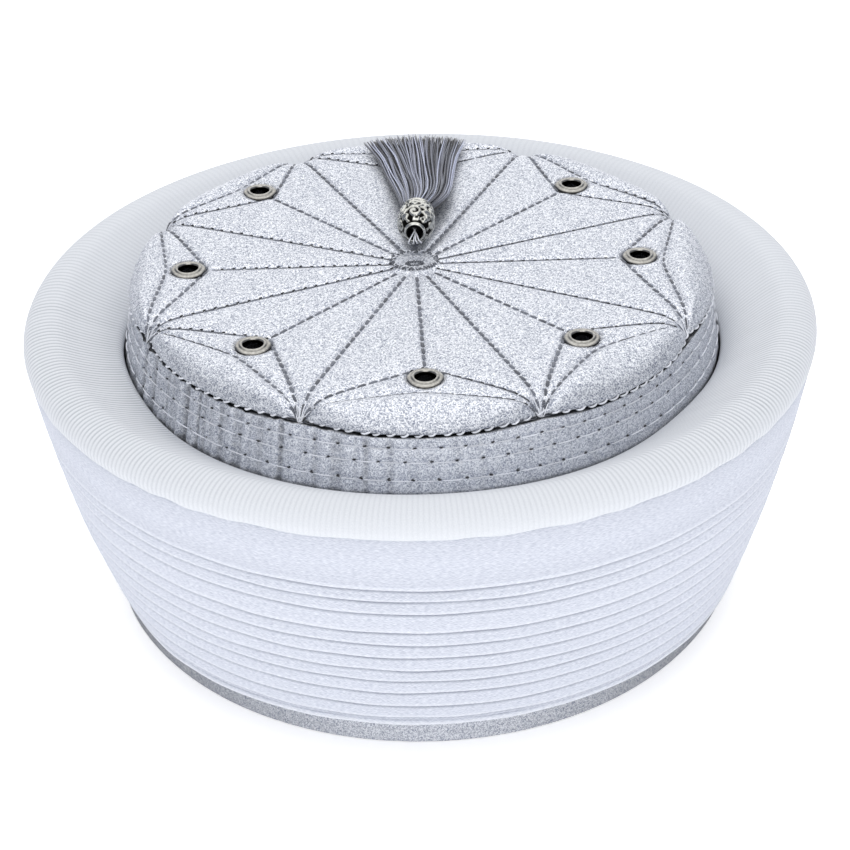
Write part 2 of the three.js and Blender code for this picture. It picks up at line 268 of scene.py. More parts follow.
def smooth_curve(knots, count):
    """Evenly spread points on a smooth curve through the knots."""
    knots = np.array(knots, float)
    ends = np.vstack([2 * knots[0] - knots[1], knots, 2 * knots[-1] - knots[-2]])
    place = np.linspace(0, len(knots) - 1, 40 * len(knots))
    span = np.minimum(place.astype(int), len(knots) - 2)
    t = (place - span)[:, None]
    a, b, c, d = (ends[span + step] for step in range(4))
    fine = b + 0.5 * t * (c - a + t * (2 * a - 5 * b + 4 * c - d + t * (3 * (b - c) + d - a)))
    length = path_length(fine)
    even = np.linspace(0, length[-1], count)
    return np.stack([np.interp(even, length, column) for column in fine.T], -1)


def wander(angle, seed, fewest, most, size):
    """Small irregularity round the hat: a sum of waves with fewest to most crests in a turn."""
    draw = np.random.default_rng(seed)
    crests = np.arange(fewest, most + 1)
    phases = draw.uniform(0, FULL_TURN, len(crests))
    weights = draw.uniform(0.4, 1, len(crests)) / np.sqrt(len(crests))
    waves = np.sin(np.multiply.outer(np.asarray(angle), crests) + phases)
    return size * (waves @ weights)


def nearest(points, places):
    """Distance from each point to the nearest of the places."""
    gaps = np.asarray(points)[..., None, :] - np.asarray(places)
    return np.linalg.norm(gaps, axis=-1).min(-1)


def line_distance(points, lines):
    """Distance from each point to the nearest of the lines, seen from above, and the place on that line."""
    flat = points.reshape(-1, 2)
    best = np.full(len(flat), np.inf)
    foot = flat.copy()
    for line in lines:
        for start, span in zip(line[:-1], np.diff(line, axis=0)):
            t = np.clip(((flat - start) @ span) / (span @ span), 0, 1)
            place = start + t[:, None] * span
            gap = np.linalg.norm(flat - place, axis=1)
            nearer = gap < best
            best[nearer] = gap[nearer]
            foot[nearer] = place[nearer]
    return best.reshape(points.shape[:-1]), foot.reshape(points.shape)


# ---- Meshes ----

def add_mesh(name, points, faces, material, uv=None, marks=None):
    """Smooth-shaded mesh object from points in millimetres. uv holds two lengths for every face corner, and
    marks a number for every point under each name."""
    mesh = bpy.data.meshes.new(name)
    mesh.from_pydata((np.asarray(points) * MM).tolist(), [], [list(map(int, face)) for face in faces])
    if uv is not None:
        layer = mesh.uv_layers.new(name="cloth")
        layer.uv.foreach_set("vector", np.asarray(uv, np.float32).ravel())
    for mark, values in (marks or {}).items():
        attribute = mesh.attributes.new(mark, "FLOAT", "POINT")
        attribute.data.foreach_set("value", np.asarray(values, np.float32).ravel())
    mesh.polygons.foreach_set("use_smooth", [True] * len(mesh.polygons))
    mesh.materials.append(material)
    return add_object(name, mesh)


def add_piece(name, points, faces, material, slot, stands_for=(), **extras):
    """Piece of the turban: rides on its one body. Its slot is not used."""
    piece = add_mesh(name, points, faces, material, **extras)
    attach(piece, "root")
    if stands_for:
        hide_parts(*stands_for)
    return piece


def grid_cells(rows, columns, closed):
    """Row and column of every cell of a grid whose last row joins its first if it is closed."""
    return np.meshgrid(np.arange(rows if closed else rows - 1), np.arange(columns), indexing="ij")


def grid_faces(rows, columns, closed):
    """Quads of the same grid, whose last column joins its first."""
    row, column = grid_cells(rows, columns, closed)
    above = (row + 1) % rows * columns
    beside = (column + 1) % columns
    row = row * columns
    return np.stack([row + column, row + beside, above + beside, above + column], -1).reshape(-1, 4)


def grid_uv(around, up, rows, columns, closed):
    """Face corner lengths of the same grid: around and up hold one more than its columns and rows."""
    row, column = grid_cells(rows, columns, closed)
    corners = [(column, row), (column + 1, row), (column + 1, row + 1), (column, row + 1)]
    return np.stack([np.stack([around[c], up[r]], -1) for c, r in corners], 2).reshape(-1, 2)


def disc_grid(count):
    """Even square grid bent to a round disc: its azimuths, its radii from 0 to 1 and its quads."""
    steps = np.linspace(-1, 1, count)
    u, v = np.meshgrid(steps, steps)
    wide = np.abs(u) > np.abs(v)
    long = np.where(wide, u, v)
    short = np.where(wide, v, u)
    slant = math.pi / 4 * np.divide(short, long, out=np.zeros_like(long), where=long != 0)
    angle = np.where(wide, slant, math.pi / 2 - slant)
    azimuth = np.arctan2(long * np.sin(angle), long * np.cos(angle)).ravel()
    row, column = np.meshgrid(np.arange(count - 1), np.arange(count - 1), indexing="ij")
    first = (row * count + column).ravel()
    faces = np.stack([first, first + 1, first + count + 1, first + count], -1)
    return azimuth, np.abs(long).ravel(), faces


def add_turned_piece(name, rows, azimuth, material, slot, stands_for=(), mark=None, centre=(0, 0, 0)):
    """Round piece from rows up its outside, inwards and down its inside. A row holds radii and heights, and
    may add its values of the mark and an angle that it is turned on by."""
    rows = [(*row, 0, 0)[:4] for row in rows]
    points = np.array([turned(radius, height, azimuth + turn) for radius, height, _, turn in rows])
    steps = np.linalg.norm(np.diff(points[:, 0], axis=0), axis=1)
    up = np.concatenate([[0], np.cumsum(steps), [steps.sum() + 1]])
    reach = np.linalg.norm(points[..., :2], axis=2).max()
    around = np.linspace(0, FULL_TURN * reach, len(azimuth) + 1)
    shape = (len(rows), len(azimuth), True)
    marks = {mark: np.array([value + 0 * azimuth for _, _, value, _ in rows])} if mark else None
    return add_piece(
        name, points.reshape(-1, 3) + np.array(centre), grid_faces(*shape), material, slot, stands_for,
        uv=grid_uv(around, up, *shape), marks=marks,
    )


def tubes(paths, radius, sides, up=(0, 0, 1), flatness=1):
    """Threads along paths of equal point counts, closed at both ends. radius is one number, for threads
    with rounded ends, or one for each point of a path; flatness is a thread's height to its width. Returns
    points, faces and face corner lengths along and around the thread."""
    paths = np.asarray(paths, float)
    number, count, _ = paths.shape
    if np.ndim(radius) == 0:
        radius = radius * np.maximum(1 - np.linspace(-1, 1, count) ** 8, 0.3)
    along = np.gradient(paths, axis=1)
    along /= np.linalg.norm(along, axis=2, keepdims=True)
    side = np.cross(along, np.array(up, float))
    side /= np.linalg.norm(side, axis=2, keepdims=True)
    over = np.cross(side, along) * flatness
    turn = round_steps(sides)[:, None]
    circle = side[:, :, None] * np.cos(turn) + over[:, :, None] * np.sin(turn)
    points = (paths[:, :, None] + np.asarray(radius)[None, :, None, None] * circle).reshape(-1, 3)
    quads = grid_faces(count, sides, False)[:, ::-1]
    lengths = grid_uv(np.linspace(0, 1, sides + 1), path_length(paths[0]), count, sides, False)
    caps = [list(range(sides)), list(range(count * sides - 1, (count - 1) * sides - 1, -1))]
    one = np.concatenate([lengths.reshape(-1, 4, 2)[:, ::-1].reshape(-1, 2), np.zeros((2 * sides, 2))])
    faces, uv = [], []
    for thread in range(number):
        start = thread * count * sides
        faces.extend((quads + start).tolist())
        faces.extend([[start + corner for corner in cap] for cap in caps])
        uv.append(one + (THREAD_STEP * (thread + 0.1), 0))
    return points, faces, np.concatenate(uv)


def add_threads(name, paths, radius, sides, material, slot="silver_lame", stands_for=(), marks=None, **form):
    """Piece of threads or stitches along paths."""
    points, faces, uv = tubes(paths, radius, sides, **form)
    add_piece(name, points, faces, material, slot, stands_for, uv=uv, marks=marks)


# ---- Shape of the cap ----

def cap_radius(height, azimuth=0):
    """Radius of the cap's outside at a height and azimuth."""
    rim = FOOT_RADIUS + EAR_BULGE * np.abs(np.cos(azimuth)) ** 10
    lower = ramp(height, 0, WAIST_HEIGHT)
    upper = ramp(height, WAIST_HEIGHT, SEAM_HEIGHT)
    straight = rim + (WAIST_RADIUS - rim) * lower + (SEAM_RADIUS - WAIST_RADIUS) * upper
    return straight + CROWN_SHIFT * ramp(height, 50, 90) * np.cos(azimuth)


def eyelet_places():
    """Middles of the eight eyelets, seen from above."""
    corners = [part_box(f"eyelet_{number + 1}") for number in range(8)]
    return np.array([(np.array(low) + np.array(high))[:2] / 2 / MM for low, high in corners])


EYELETS = eyelet_places()
EYELET_RADII = np.hypot(*EYELETS.T)
TIPS = TIP_RADIUS * direction(TIP_AZIMUTHS)


def near_tip(azimuth):
    """Number of the pillow at an azimuth, and how near that is to a tip: 0 between two, 1 at one."""
    into = np.mod(azimuth - TIP_AZIMUTHS[0], FULL_TURN)
    starts = TIP_AZIMUTHS - TIP_AZIMUTHS[0]
    number = np.searchsorted(starts, into, side="right") - 1
    spans = np.diff(np.append(starts, FULL_TURN))
    return number, np.abs(2 * (into - starts[number]) / spans[number] - 1)


def arc_radius(azimuth):
    """Radius of the stitched arcs that part the flat star from the edge pillows."""
    number, nearness = near_tip(azimuth)
    low = EYELET_RADII[number] + ARC_BEYOND_EYELET
    return low + (TIP_RADIUS - low) * nearness ** ARC_POWER


def seam_height(azimuth):
    """Height of the seam: the padded panel pushes it down between two tips, and each tip draws it up."""
    number, nearness = near_tip(azimuth)
    return SEAM_HEIGHT + 0.6 - SEAM_SAGS[number] * (1 - nearness ** 2)


def widest_radius(azimuth):
    """Widest radius of the pillows that roll over the cap's edge, drawn in at the tips."""
    _, nearness = near_tip(azimuth)
    return BULGE_RADIUS + CROWN_SHIFT * np.cos(azimuth) - TIP_PINCH * nearness ** 2.8


def row_level(height, azimuth):
    """Height of a row round the cap's side, which follows the seam near it and strays further down."""
    near_seam = ramp(height, 96, 102.8)
    sag = seam_height(azimuth) - SEAM_HEIGHT
    return height + near_seam * sag + (1 - near_seam) * wander(azimuth, 22, 2, 9, 0.3)


def dipped_height(points):
    """Height of the top, whose star tips are sewn down to the seam in little tucks."""
    away = points[..., None, :] - TIPS
    gaps = np.hypot(away[..., 0], away[..., 1])
    tip = gaps.argmin(-1)
    gap = np.take_along_axis(gaps, tip[..., None], -1)[..., 0]
    aside = np.take_along_axis(away, tip[..., None, None], -2)[..., 0, :]
    turn = np.arctan2(aside[..., 1], aside[..., 0])
    tucks = 0.13 * np.cos(9 * turn + 2 * tip) * hump(gap - 3.2, 2.2)
    return TOP_HEIGHT - TIP_DIP * np.exp(-np.sqrt(gap ** 2 + 0.4) / DIP_REACH) + tucks


def star_lines():
    """The star's stitched lines, seen from above: spokes to the tips and to the valleys inside the eyelets,
    the outline from tip to valley to tip, and the arcs from tip to tip."""
    outwards = EYELETS / EYELET_RADII[:, None]
    valleys = EYELETS - 6.1 * outwards
    spokes, outlines, arcs = [], [], []
    for end in [*TIPS, *valleys]:
        away = (end - STAR_MIDDLE) / np.linalg.norm(end - STAR_MIDDLE)
        spokes.append(np.linspace(STAR_MIDDLE + 7.6 * away, end - away, 3))
    for number, valley in enumerate(valleys):
        for tip in (TIPS[number], TIPS[(number + 1) % 8]):
            along = (tip - valley) / np.linalg.norm(tip - valley)
            bend = 0.35 * outwards[number]
            outlines.append(smooth_curve([valley + 0.4 * along, (valley + tip) / 2 - bend, tip - along], 12))
        start = TIP_AZIMUTHS[number]
        end = start + np.mod(TIP_AZIMUTHS[(number + 1) % 8] - start, FULL_TURN)
        azimuth = np.linspace(start + 0.011, end - 0.011, 90)
        arcs.append(arc_radius(azimuth)[:, None] * direction(azimuth))
    return spokes, outlines, arcs


SPOKES, OUTLINES, ARCS = star_lines()


def quilting(points):
    """How far the stitches pull the padded top in at a point: a narrow furrow in a shallow hollow."""
    fine, _ = line_distance(points, SPOKES + OUTLINES)
    arcs, _ = line_distance(points, ARCS)
    shallow = FURROW_DEPTH * hump(fine, FURROW) + HOLLOW_DEPTH * hump(fine, HOLLOW)
    deep = FURROW_DEPTH * hump(arcs, FURROW) + ARC_HOLLOW_DEPTH * hump(arcs, ARC_HOLLOW)
    return shallow + deep


def laid_on_top(plan, lift):
    """Paths seen from above, laid on the quilted top at a lift."""
    height = dipped_height(plan) - quilting(plan) + lift
    return np.concatenate([plan, height[..., None]], -1)


def open_at_eyelets(points, faces, radius):
    """The faces that are clear of the eyelets' barrels."""
    gap = nearest(points[:, :2], EYELETS)
    return faces[gap[faces].min(1) > radius]


# ---- Places of the stitches ----

def stitches_along(line, draw):
    """Plan paths of a row of stitches on a line, each six points long and leaning a little across it."""
    distance = path_length(line)
    count = max(1, round(distance[-1] / STITCH["pitch"]))
    pitch = distance[-1] / count
    starts = (np.arange(count) + 0.1) * pitch + draw.uniform(-0.1, 0.1, count)
    share = np.linspace(0, 1, 6)
    place = starts[:, None] + STITCH["length"] / STITCH["pitch"] * pitch * share
    x = np.interp(place, distance, line[:, 0])
    y = np.interp(place, distance, line[:, 1])
    run = np.stack([np.gradient(x, axis=1), np.gradient(y, axis=1)], -1)
    run /= np.linalg.norm(run, axis=2, keepdims=True)
    across = np.stack([-run[..., 1], run[..., 0]], -1)
    lean = (STITCH["lean"] + draw.uniform(-0.06, 0.06, count))[:, None] * (share - 0.5)
    return np.stack([x, y], -1) + lean[..., None] * STITCH["length"] * across


def star_stitches():
    """Plan paths of all the stitches of the star, up to its tips."""
    draw = np.random.default_rng(41)
    paths = np.concatenate([stitches_along(line, draw) for line in SPOKES + OUTLINES + ARCS])
    return paths[nearest(paths, TIPS).min(1) > 0.8]


STAR_STITCHES = star_stitches()
STITCH_RUNS = STAR_STITCHES[:, -1] - STAR_STITCHES[:, 0]
# 1 for the stitches that run from side to side, which were pulled tighter, 0 for those across.
TIGHT = ramp(np.abs(STITCH_RUNS[:, 0]) / np.linalg.norm(STITCH_RUNS, axis=1), 0.78, 0.95)
# Between two stitches the padding lifts the cloth again.
STITCH_GAPS = STAR_STITCHES[:, 0] - 0.05 * STITCH_RUNS


def stitch_azimuths(number):
    """Where the stitches of one row on the cap's side begin."""
    draw = np.random.default_rng(30 + number)
    even = round_steps(SIDE_PITCH_COUNT) + draw.uniform(0, 0.07)
    return even + draw.uniform(-0.006, 0.006, SIDE_PITCH_COUNT)


def needle_holes(azimuth, number):
    """1 at the columns where the needle went through, else 0."""
    gap = np.abs(np.mod(azimuth[:, None] - stitch_azimuths(number) + math.pi, FULL_TURN) - math.pi)
    return (gap.min(1) < 0.0034).astype(float)


# ---- Cap pieces ----

def rolled_panel(azimuth, share):
    """The top before it is quilted: flat inside the arcs, rolled over the edge and tucked under. Returns its
    plan and height, how far a point lies beyond its arc, and the angle that it has rolled."""
    outwards = direction(azimuth)
    arc = arc_radius(azimuth)
    arc_height = dipped_height(arc[:, None] * outwards)
    seam = seam_height(azimuth)
    bulge_height = seam + BULGE_RISE * (arc_height - seam)
    high = arc_height - bulge_height
    widest = widest_radius(azimuth)
    wide = widest - arc
    roll_length = ROLL_END * np.sqrt((wide ** 2 + high ** 2) / 2)
    reach = share * (arc + roll_length)
    flat = reach <= arc
    turn = ROLL_END * np.clip((reach - arc) / roll_length, 0, 1)
    tucked = SEAM_RADIUS + CROWN_SHIFT * np.cos(azimuth) - 1.1
    under = ramp(turn, math.pi / 2, ROLL_END)
    roll_radius = arc + wide * np.sin(np.minimum(turn, math.pi / 2)) - (widest - tucked) * under ** 2
    plan = np.where(flat, reach, roll_radius)[:, None] * outwards

    # The grid is drawn onto the stitched lines, so that their furrows are as narrow as a thread.
    gap, foot = line_distance(plan, SPOKES + OUTLINES + ARCS)
    drawn = (gap < DRAWN_IN) & (turn < 0.5) & (nearest(plan, TIPS) > 0.7)
    plan = np.where(drawn[:, None], foot, plan)
    height = np.where(flat, dipped_height(plan), bulge_height + high * np.cos(turn))
    return plan, height, reach - arc, turn


def stitch_bridges(tree, count):
    """How far the cloth is lifted between two stitches, 0 to 1, at each point of the tree."""
    bridge = np.zeros(count)
    for x, y in STITCH_GAPS:
        for _, index, away in tree.find_range((x, y, 0), 0.8):
            bridge[index] = max(bridge[index], hump(away, 0.35))
    return bridge


def add_cap_top(material):
    """Quilted panel: flat star, eight padded pillows that roll over the edge, and a seam tucked under."""
    azimuth, share, faces = disc_grid(TOP_GRID)
    plan, height, beyond, turn = rolled_panel(azimuth, share)
    flat = beyond <= 0
    tree = KDTree(len(plan))
    for index, (x, y) in enumerate(plan):
        tree.insert((x, y, 0), index)
    tree.balance()

    # Each eyelet presses the cloth down and lifts it in a ring round itself.
    to_eyelet = nearest(plan, EYELETS)
    pressed = EYELET_PRESS / (1 + np.exp((to_eyelet - EYELET_REACH) / 0.2))
    height = height - pressed + 0.15 * hump(to_eyelet - 6.8, 0.9)
    pull = quilting(plan) * ramp(turn, 1.2, 0.7) * (1 - 0.55 * stitch_bridges(tree, len(plan)))
    _, nearness = near_tip(azimuth)
    full = 1 - nearness ** 3
    rolled = turn / ROLL_END
    puff = full * (0.7 * hump(beyond - 4.5, 3.4) + 0.3 * np.sin(math.pi * rolled))
    soft = wander(azimuth, 11, 3, 14, 0.16) + wander(azimuth, 12, 70, 120, 0.14) * ramp(turn, 0.7, 1.7)
    outward = -pull + puff + np.where(flat, 0, soft)
    height = height + outward * np.where(flat, 1, np.cos(turn))
    grow = outward * np.where(flat, 0, np.sin(turn))
    points = turned(np.hypot(*plan.T) + grow, height, np.arctan2(plan[:, 1], plan[:, 0]))

    # Painted shade: near black where the panel tucks under at the seam, in a thin ring round each eyelet and
    # at the tips, and a little darker down each pillow towards the seam.
    shade_marks = np.maximum(ramp(rolled, 0.96, 0.99), 0.2 * ramp(rolled, 0.45, 0.9))
    shade_marks = np.maximum(shade_marks, 0.8 * hump(to_eyelet - 5.65, 0.25))
    for x, y in TIPS * 0.998:
        for _, index, _ in tree.find_range((x, y, 0), 0.5):
            shade_marks[index] = 1
    piece = add_piece(
        "cap_top_cloth", points, open_at_eyelets(points, faces, EYELET_HOLE), material, "silver_lame",
        ["cap_top"], marks={"painted_shade": shade_marks},
    )


def add_cap_side(material):
    """Side of the cap: rows of stitches part it into low ridges, and the thread gathers it into puckers."""
    azimuth = round_steps(12 * SIDE_PITCH_COUNT)
    sideways = np.abs(np.cos(azimuth))
    _, nearness = near_tip(azimuth)
    groove = GROOVE_HEIGHT + 0.7 * nearness ** 2
    near_front_left = np.clip(np.cos(azimuth - math.radians(230)), 0, 1) ** 5
    gathered = 0.4 + 2.3 * near_front_left
    puckers = (wander(azimuth, 21, 60, 110, 0.26) + wander(azimuth, 23, 150, 230, 0.15)) * gathered
    rows = []
    for height in [*np.arange(0.6, 12.4, 0.6), *np.linspace(13, 81, 6)]:
        shade = np.interp(height, *SIDE_SHADE.T)
        # Painted shade on the band below the wall, darker towards both sides.
        band_side_shade = (height < 12) * (0.2 + 0.42 * sideways ** 1.5)
        rows.append((cap_radius(height, azimuth), height, np.maximum(shade, band_side_shade)))
    for height in np.arange(102.8, 83, -0.42)[::-1]:
        to_row = min(abs(height - row_height) for row_height in SIDE_ROW_HEIGHTS)
        pucker = puckers * (0.5 + 0.5 * math.sin(height * 1.05) ** 2)
        radius = cap_radius(height, azimuth) + 0.16 * (1 - hump(to_row, 1.1)) + pucker
        radius = radius - GROOVE_DEPTH * ramp(height - groove, 0, 1.3) ** 2
        # Painted shade: from the table, in the hollows of the puckers, a little at both sides, and in the
        # groove under the seam.
        shade_mark = np.maximum(np.interp(height, *SIDE_SHADE.T), 0.4 * ramp(pucker, 0, -0.6) + 0.14 * sideways)
        shade_mark = np.maximum(shade_mark, ramp(height - groove, 0, 0.3))
        for number, row_height in enumerate(SIDE_ROW_HEIGHTS):
            if abs(height - row_height) < 0.22:
                pierced_and_shaded = needle_holes(azimuth, number)
                radius = radius - 0.45 * pierced_and_shaded
                # Painted shade in the needle holes.
                shade_mark = np.maximum(shade_mark, pierced_and_shaded)
        rows.append((radius, row_level(height, azimuth), shade_mark))
    # The inside is painted darker as shade.
    rows += [(cap_radius(height, azimuth) - depth, height, 0.6) for height, depth in SIDE_INSIDE]
    add_turned_piece(
        "cap_side_cloth", rows, azimuth, material, "silver_lame", ["cap_side"], mark="painted_shade",
    )


def arched(lift, count):
    """Lifts of stitches at each of their points: the middle is raised and the ends go down a hole."""
    arch = np.sin(np.linspace(0, math.pi, count)) ** 0.35
    return lift[:, None] - 0.4 * (1 - arch)


def add_star_stitching(material):
    """Thick grey thread along all the lines of the star, pulled thin where the lines meet at a tip."""
    near = nearest(STAR_STITCHES, TIPS).min(1) < TIP_THREAD_REACH
    for name, chosen, share in [("star_stitching", ~near, 1), ("tip_stitching", near, TIP_THREAD_SHARE)]:
        lift = arched(0.26 * share - 0.14 * TIGHT[chosen], 6)
        paths = laid_on_top(STAR_STITCHES[chosen], lift)
        add_threads(name, paths, share * STITCH["thickness"] / 2, 8, material, flatness=STITCH["flatness"])


def add_tip_tacks(material):
    """Loose pale thread ends in the tucks at each star tip."""
    draw = np.random.default_rng(45)
    share = np.linspace(0, 1, 7)
    arch = np.sin(math.pi * share)
    paths = []
    for tip in TIPS:
        inwards = math.atan2(-tip[1], -tip[0])
        for lean in np.radians([-64, -34, -12, 10, 30, 58]):
            angle = inwards + lean + draw.uniform(-0.15, 0.15)
            gap = 0.2 + share * draw.uniform(1.8, 4.6)
            aside = draw.uniform(-0.3, 0.3) * arch
            across = direction(angle + math.pi / 2)
            plan = tip + np.outer(gap, direction(angle)) + np.outer(aside, across)
            paths.append(laid_on_top(plan, 0.3 + draw.uniform(0.2, 0.6) * arch))
    add_threads("tip_tacks", paths, 0.18, 5, material)


def zigzag(middle, wide, deep, band, count, draw):
    """Plan paths of stitches that run in and out across a band around an oval."""
    share = np.linspace(0, 1, 6)
    place = np.arange(count) + share[:, None] + draw.uniform(-0.3, 0.3, count)
    angle = place.T * FULL_TURN / count
    side = np.where(np.arange(count) % 2, 1, -1) * draw.uniform(0.6, 1.2, count)
    out = band * (share - 0.5) * side[:, None]
    return np.stack([middle[0] + (wide + out) * np.cos(angle), middle[1] + (deep + out) * np.sin(angle)], -1)


def add_centre_ring(grey, pale):
    """Embroidered ring that holds the middle of the star: zigzag stitches in grey and pale thread, with a
    small oval of them in its front half."""
    draw = np.random.default_rng(47)
    ovals = [
        ("centre_ring", grey, [((-1.2, 1.3), 6.9, 6.2, 1.6, 84), ((-1.1, -1.5), 2.4, 1.2, 1.2, 30)]),
        ("centre_ring_pale", pale, [((-1.2, 1.3), 6.7, 6, 1.9, 34), ((-1.1, -0.6), 4.4, 3.4, 1.6, 38)]),
    ]
    for name, material, rounds in ovals:
        plan = np.concatenate([zigzag(*oval, draw) for oval in rounds])
        lift = 0.24 + 0.22 * draw.random(len(plan))
        add_threads(name, laid_on_top(plan, arched(lift, 6)), 0.18, 5, material)


def add_seam_stitching(material):
    """Overcast stitches that join the top panel to the side, each a slanting loop over the seam."""
    draw = np.random.default_rng(51)
    start = round_steps(SEAM_STITCH_COUNT) + draw.uniform(-0.005, 0.005, SEAM_STITCH_COUNT)
    share = np.linspace(0, 1, 9)
    span = 0.036 + draw.uniform(-0.006, 0.006, SEAM_STITCH_COUNT)
    azimuth = start[:, None] + share * span[:, None]
    uneven = draw.uniform(-0.12, 0.12, SEAM_STITCH_COUNT)[:, None]
    height = seam_height(azimuth) + 0.4 + 1.1 * share ** 1.3 + uneven
    radius = widest_radius(azimuth) - 1.2 + 1.6 * np.sin(math.pi * (0.14 + 0.78 * share))
    add_threads("seam_stitching", turned(radius, height, azimuth), 0.29, 6, material)


def add_side_stitching(material):
    """Pale thin thread of the rows round the cap's side, dipping into the cloth at every needle hole."""
    share = np.linspace(0.08, 0.92, 9)
    paths = []
    for number, height in enumerate(SIDE_ROW_HEIGHTS):
        azimuth = stitch_azimuths(number)[:, None] + share * FULL_TURN / SIDE_PITCH_COUNT
        radius = cap_radius(height, azimuth) + 0.3 + 0.35 * np.sin(math.pi * share) ** 0.5
        paths.append(turned(radius, row_level(height, azimuth), azimuth))
    add_threads("side_stitching", np.concatenate(paths), 0.21, 5, material)


def add_painted_stitch_shade(material):
    """Dashes of painted shade at the needle holes of the star's tight stitches and in the front of the cap's
    side, laid as short near-black threads."""
    tight = TIGHT > 0.3
    share = np.array([-0.16, -0.07, 0.07, 0.16])
    plan = STITCH_GAPS[tight, None] + share[:, None] * STITCH_RUNS[tight, None]
    paths = [laid_on_top(plan, 0.46)]
    share = np.array([-1, -0.4, 0.4, 1])
    for number, height in enumerate(SIDE_ROW_HEIGHTS):
        start = stitch_azimuths(number)
        start = start[np.sin(start) < -0.55 + 0.2 * np.sin(7 * start + number)]
        azimuth = start[:, None] + share * 0.0056
        radius = cap_radius(height, azimuth) + 0.1 - 0.12 * share ** 2
        paths.append(turned(radius, row_level(height, azimuth), azimuth))
    add_threads("painted_stitch_shade", np.concatenate(paths), [0.14, 0.24, 0.24, 0.14], 5, material)


def add_eyelets(material):
    """Turned metal eyelets pressed into the cloth, with painted shade in the bore and at the edge, and
    darker in the groove.
    """
    radius, height = smooth_curve(EYELET_SECTION, 72)[:0:-1].T
    bore = 0.8 * ramp(radius, 3, 2.9)
    edge = 0.95 * ramp(height, 109.98, 109.68)
    groove = 0.45 * hump(radius - 4.1, 0.16) * (height > 109.8)
    # Painted shade in the bore and where the flange meets the cloth, and darker in the groove.
    eyelet_shade = np.maximum(np.maximum(bore, edge), groove)
    for number, (x, y) in enumerate(EYELETS, 1):
        add_turned_piece(
            f"eyelet_{number}_metal", list(zip(radius, height, eyelet_shade)), round_steps(44), material,
            "nickel_eyelet", [f"eyelet_{number}"], mark="dirt_and_shade", centre=(x, y, 0),
        )


def add_lining(material):
    """Plain lining inside the crown and down the side, and the band that rests on the head."""
    azimuth, share, faces = disc_grid(130)
    radius = share * 85
    height = LINING_HEIGHT - 3.4 * ramp(radius, 77, 85) ** 2 + 0.12 * np.cos(8 * azimuth) * share
    points = turned(radius, height, azimuth)
    faces = open_at_eyelets(points, faces, 2.95)[:, ::-1]
    add_piece("crown_lining", points, faces, material, "white_cotton")
    azimuth = round_steps(256)
    soft = wander(azimuth, 61, 20, 60, 0.25)
    rows = [(cap_radius(height, azimuth) - 2.6, height) for height in (103.4, 86, 68, 50, 30)]
    for height in np.linspace(30, 103.4, 24):
        rows.append((cap_radius(height, azimuth) - CAP_WALL - 0.15 + soft, height))
    add_turned_piece("side_lining", rows, azimuth, material, "white_cotton")
    band = [*BAND_TOP, *((height, 4.2) for height in np.linspace(26, 6, 8)), *BAND_FOOT]
    rows = [(cap_radius(height, azimuth) - depth + 0.6 * soft, height) for height, depth in band]
    add_turned_piece("sweatband", rows, azimuth, material, "white_cotton")


# ---- White wall ----

def wall_radius(height):
    """Radius of the wound wall, without its pleats, at a height."""
    rise = (height - HEM_HEIGHT) / (WALL_TOP - HEM_HEIGHT)
    straight = HEM_RADIUS + (WALL_TOP_RADIUS - HEM_RADIUS) * rise
    return straight + 4 * WALL_BELLY * rise * (1 - rise)


def pleat_rows(azimuth, number, fold, ceiling, base, slim, shut):
    """Rows of one laid pleat: the shut crease under it, its rounded lip, and its face up to the next pleat,
    or up to the rim above the last one."""
    last = number == len(PLEAT_HEIGHTS) - 1
    wall = wall_radius(fold) + slim * ramp(fold - base, SLIM_HEIGHT, 0)
    flat = 0.35 + 0.65 * shut
    deep = (0.55 + wander(azimuth, 100 + number, 5, 40, 0.1)) * flat
    lip = (0.42 + wander(azimuth, 120 + number, 5, 40, 0.07)) * flat
    # Painted shadow under the lip: fainter where the pleats lie flatter, and half as dark under the lowest
    # pleat.
    dark = PLEAT_DARKNESS * (1 + wander(azimuth, 130 + number, 4, 30, 0.14)) * shut * (1 if number else 0.5)
    rows = [
        # The third value of a row is painted light: shadow below the lip, and a highlight on the lip.
        (wall - 0.35, fold - 1.5, 0.2 * dark),
        (wall - 0.55, fold - 0.95, dark),
        (wall - deep - 0.1, fold - 0.55, 1.2 * dark),
        (wall - deep, fold - 0.3, 1.2 * dark),
        (wall + 0.3 * lip, fold - 0.28, 0.8 * dark),
        (wall + lip, fold - 0.05, -0.1),
        (wall + lip + 0.03, fold + 0.3, -0.2),
    ]
    top = ceiling if last else ceiling - 2.1
    for share in np.linspace(0.06, 1, 16) if last else np.linspace(0.2, 1, 4):
        height = fold + 0.5 + (top - fold - 0.5) * share
        sink = (lip - 0.05) * min(1, 1.6 * share) if last else (lip + 0.25 * flat) * share ** 1.5
        puff = wander(azimuth, 140 + number, 4, 24, 0.1) * math.sin(math.pi * share)
        # Painted shade on the band above the last pleat, darker near its bottom and its top.
        painted_light = np.interp(share, [0, 0.15, 0.5, 0.85, 1], [0.12, 0.06, 0, 0.08, 0.12]) if last else 0
        wall = wall_radius(height) + slim * ramp(height - base, SLIM_HEIGHT, 0)
        rows.append((wall + lip - sink + puff, height, painted_light))
    return rows


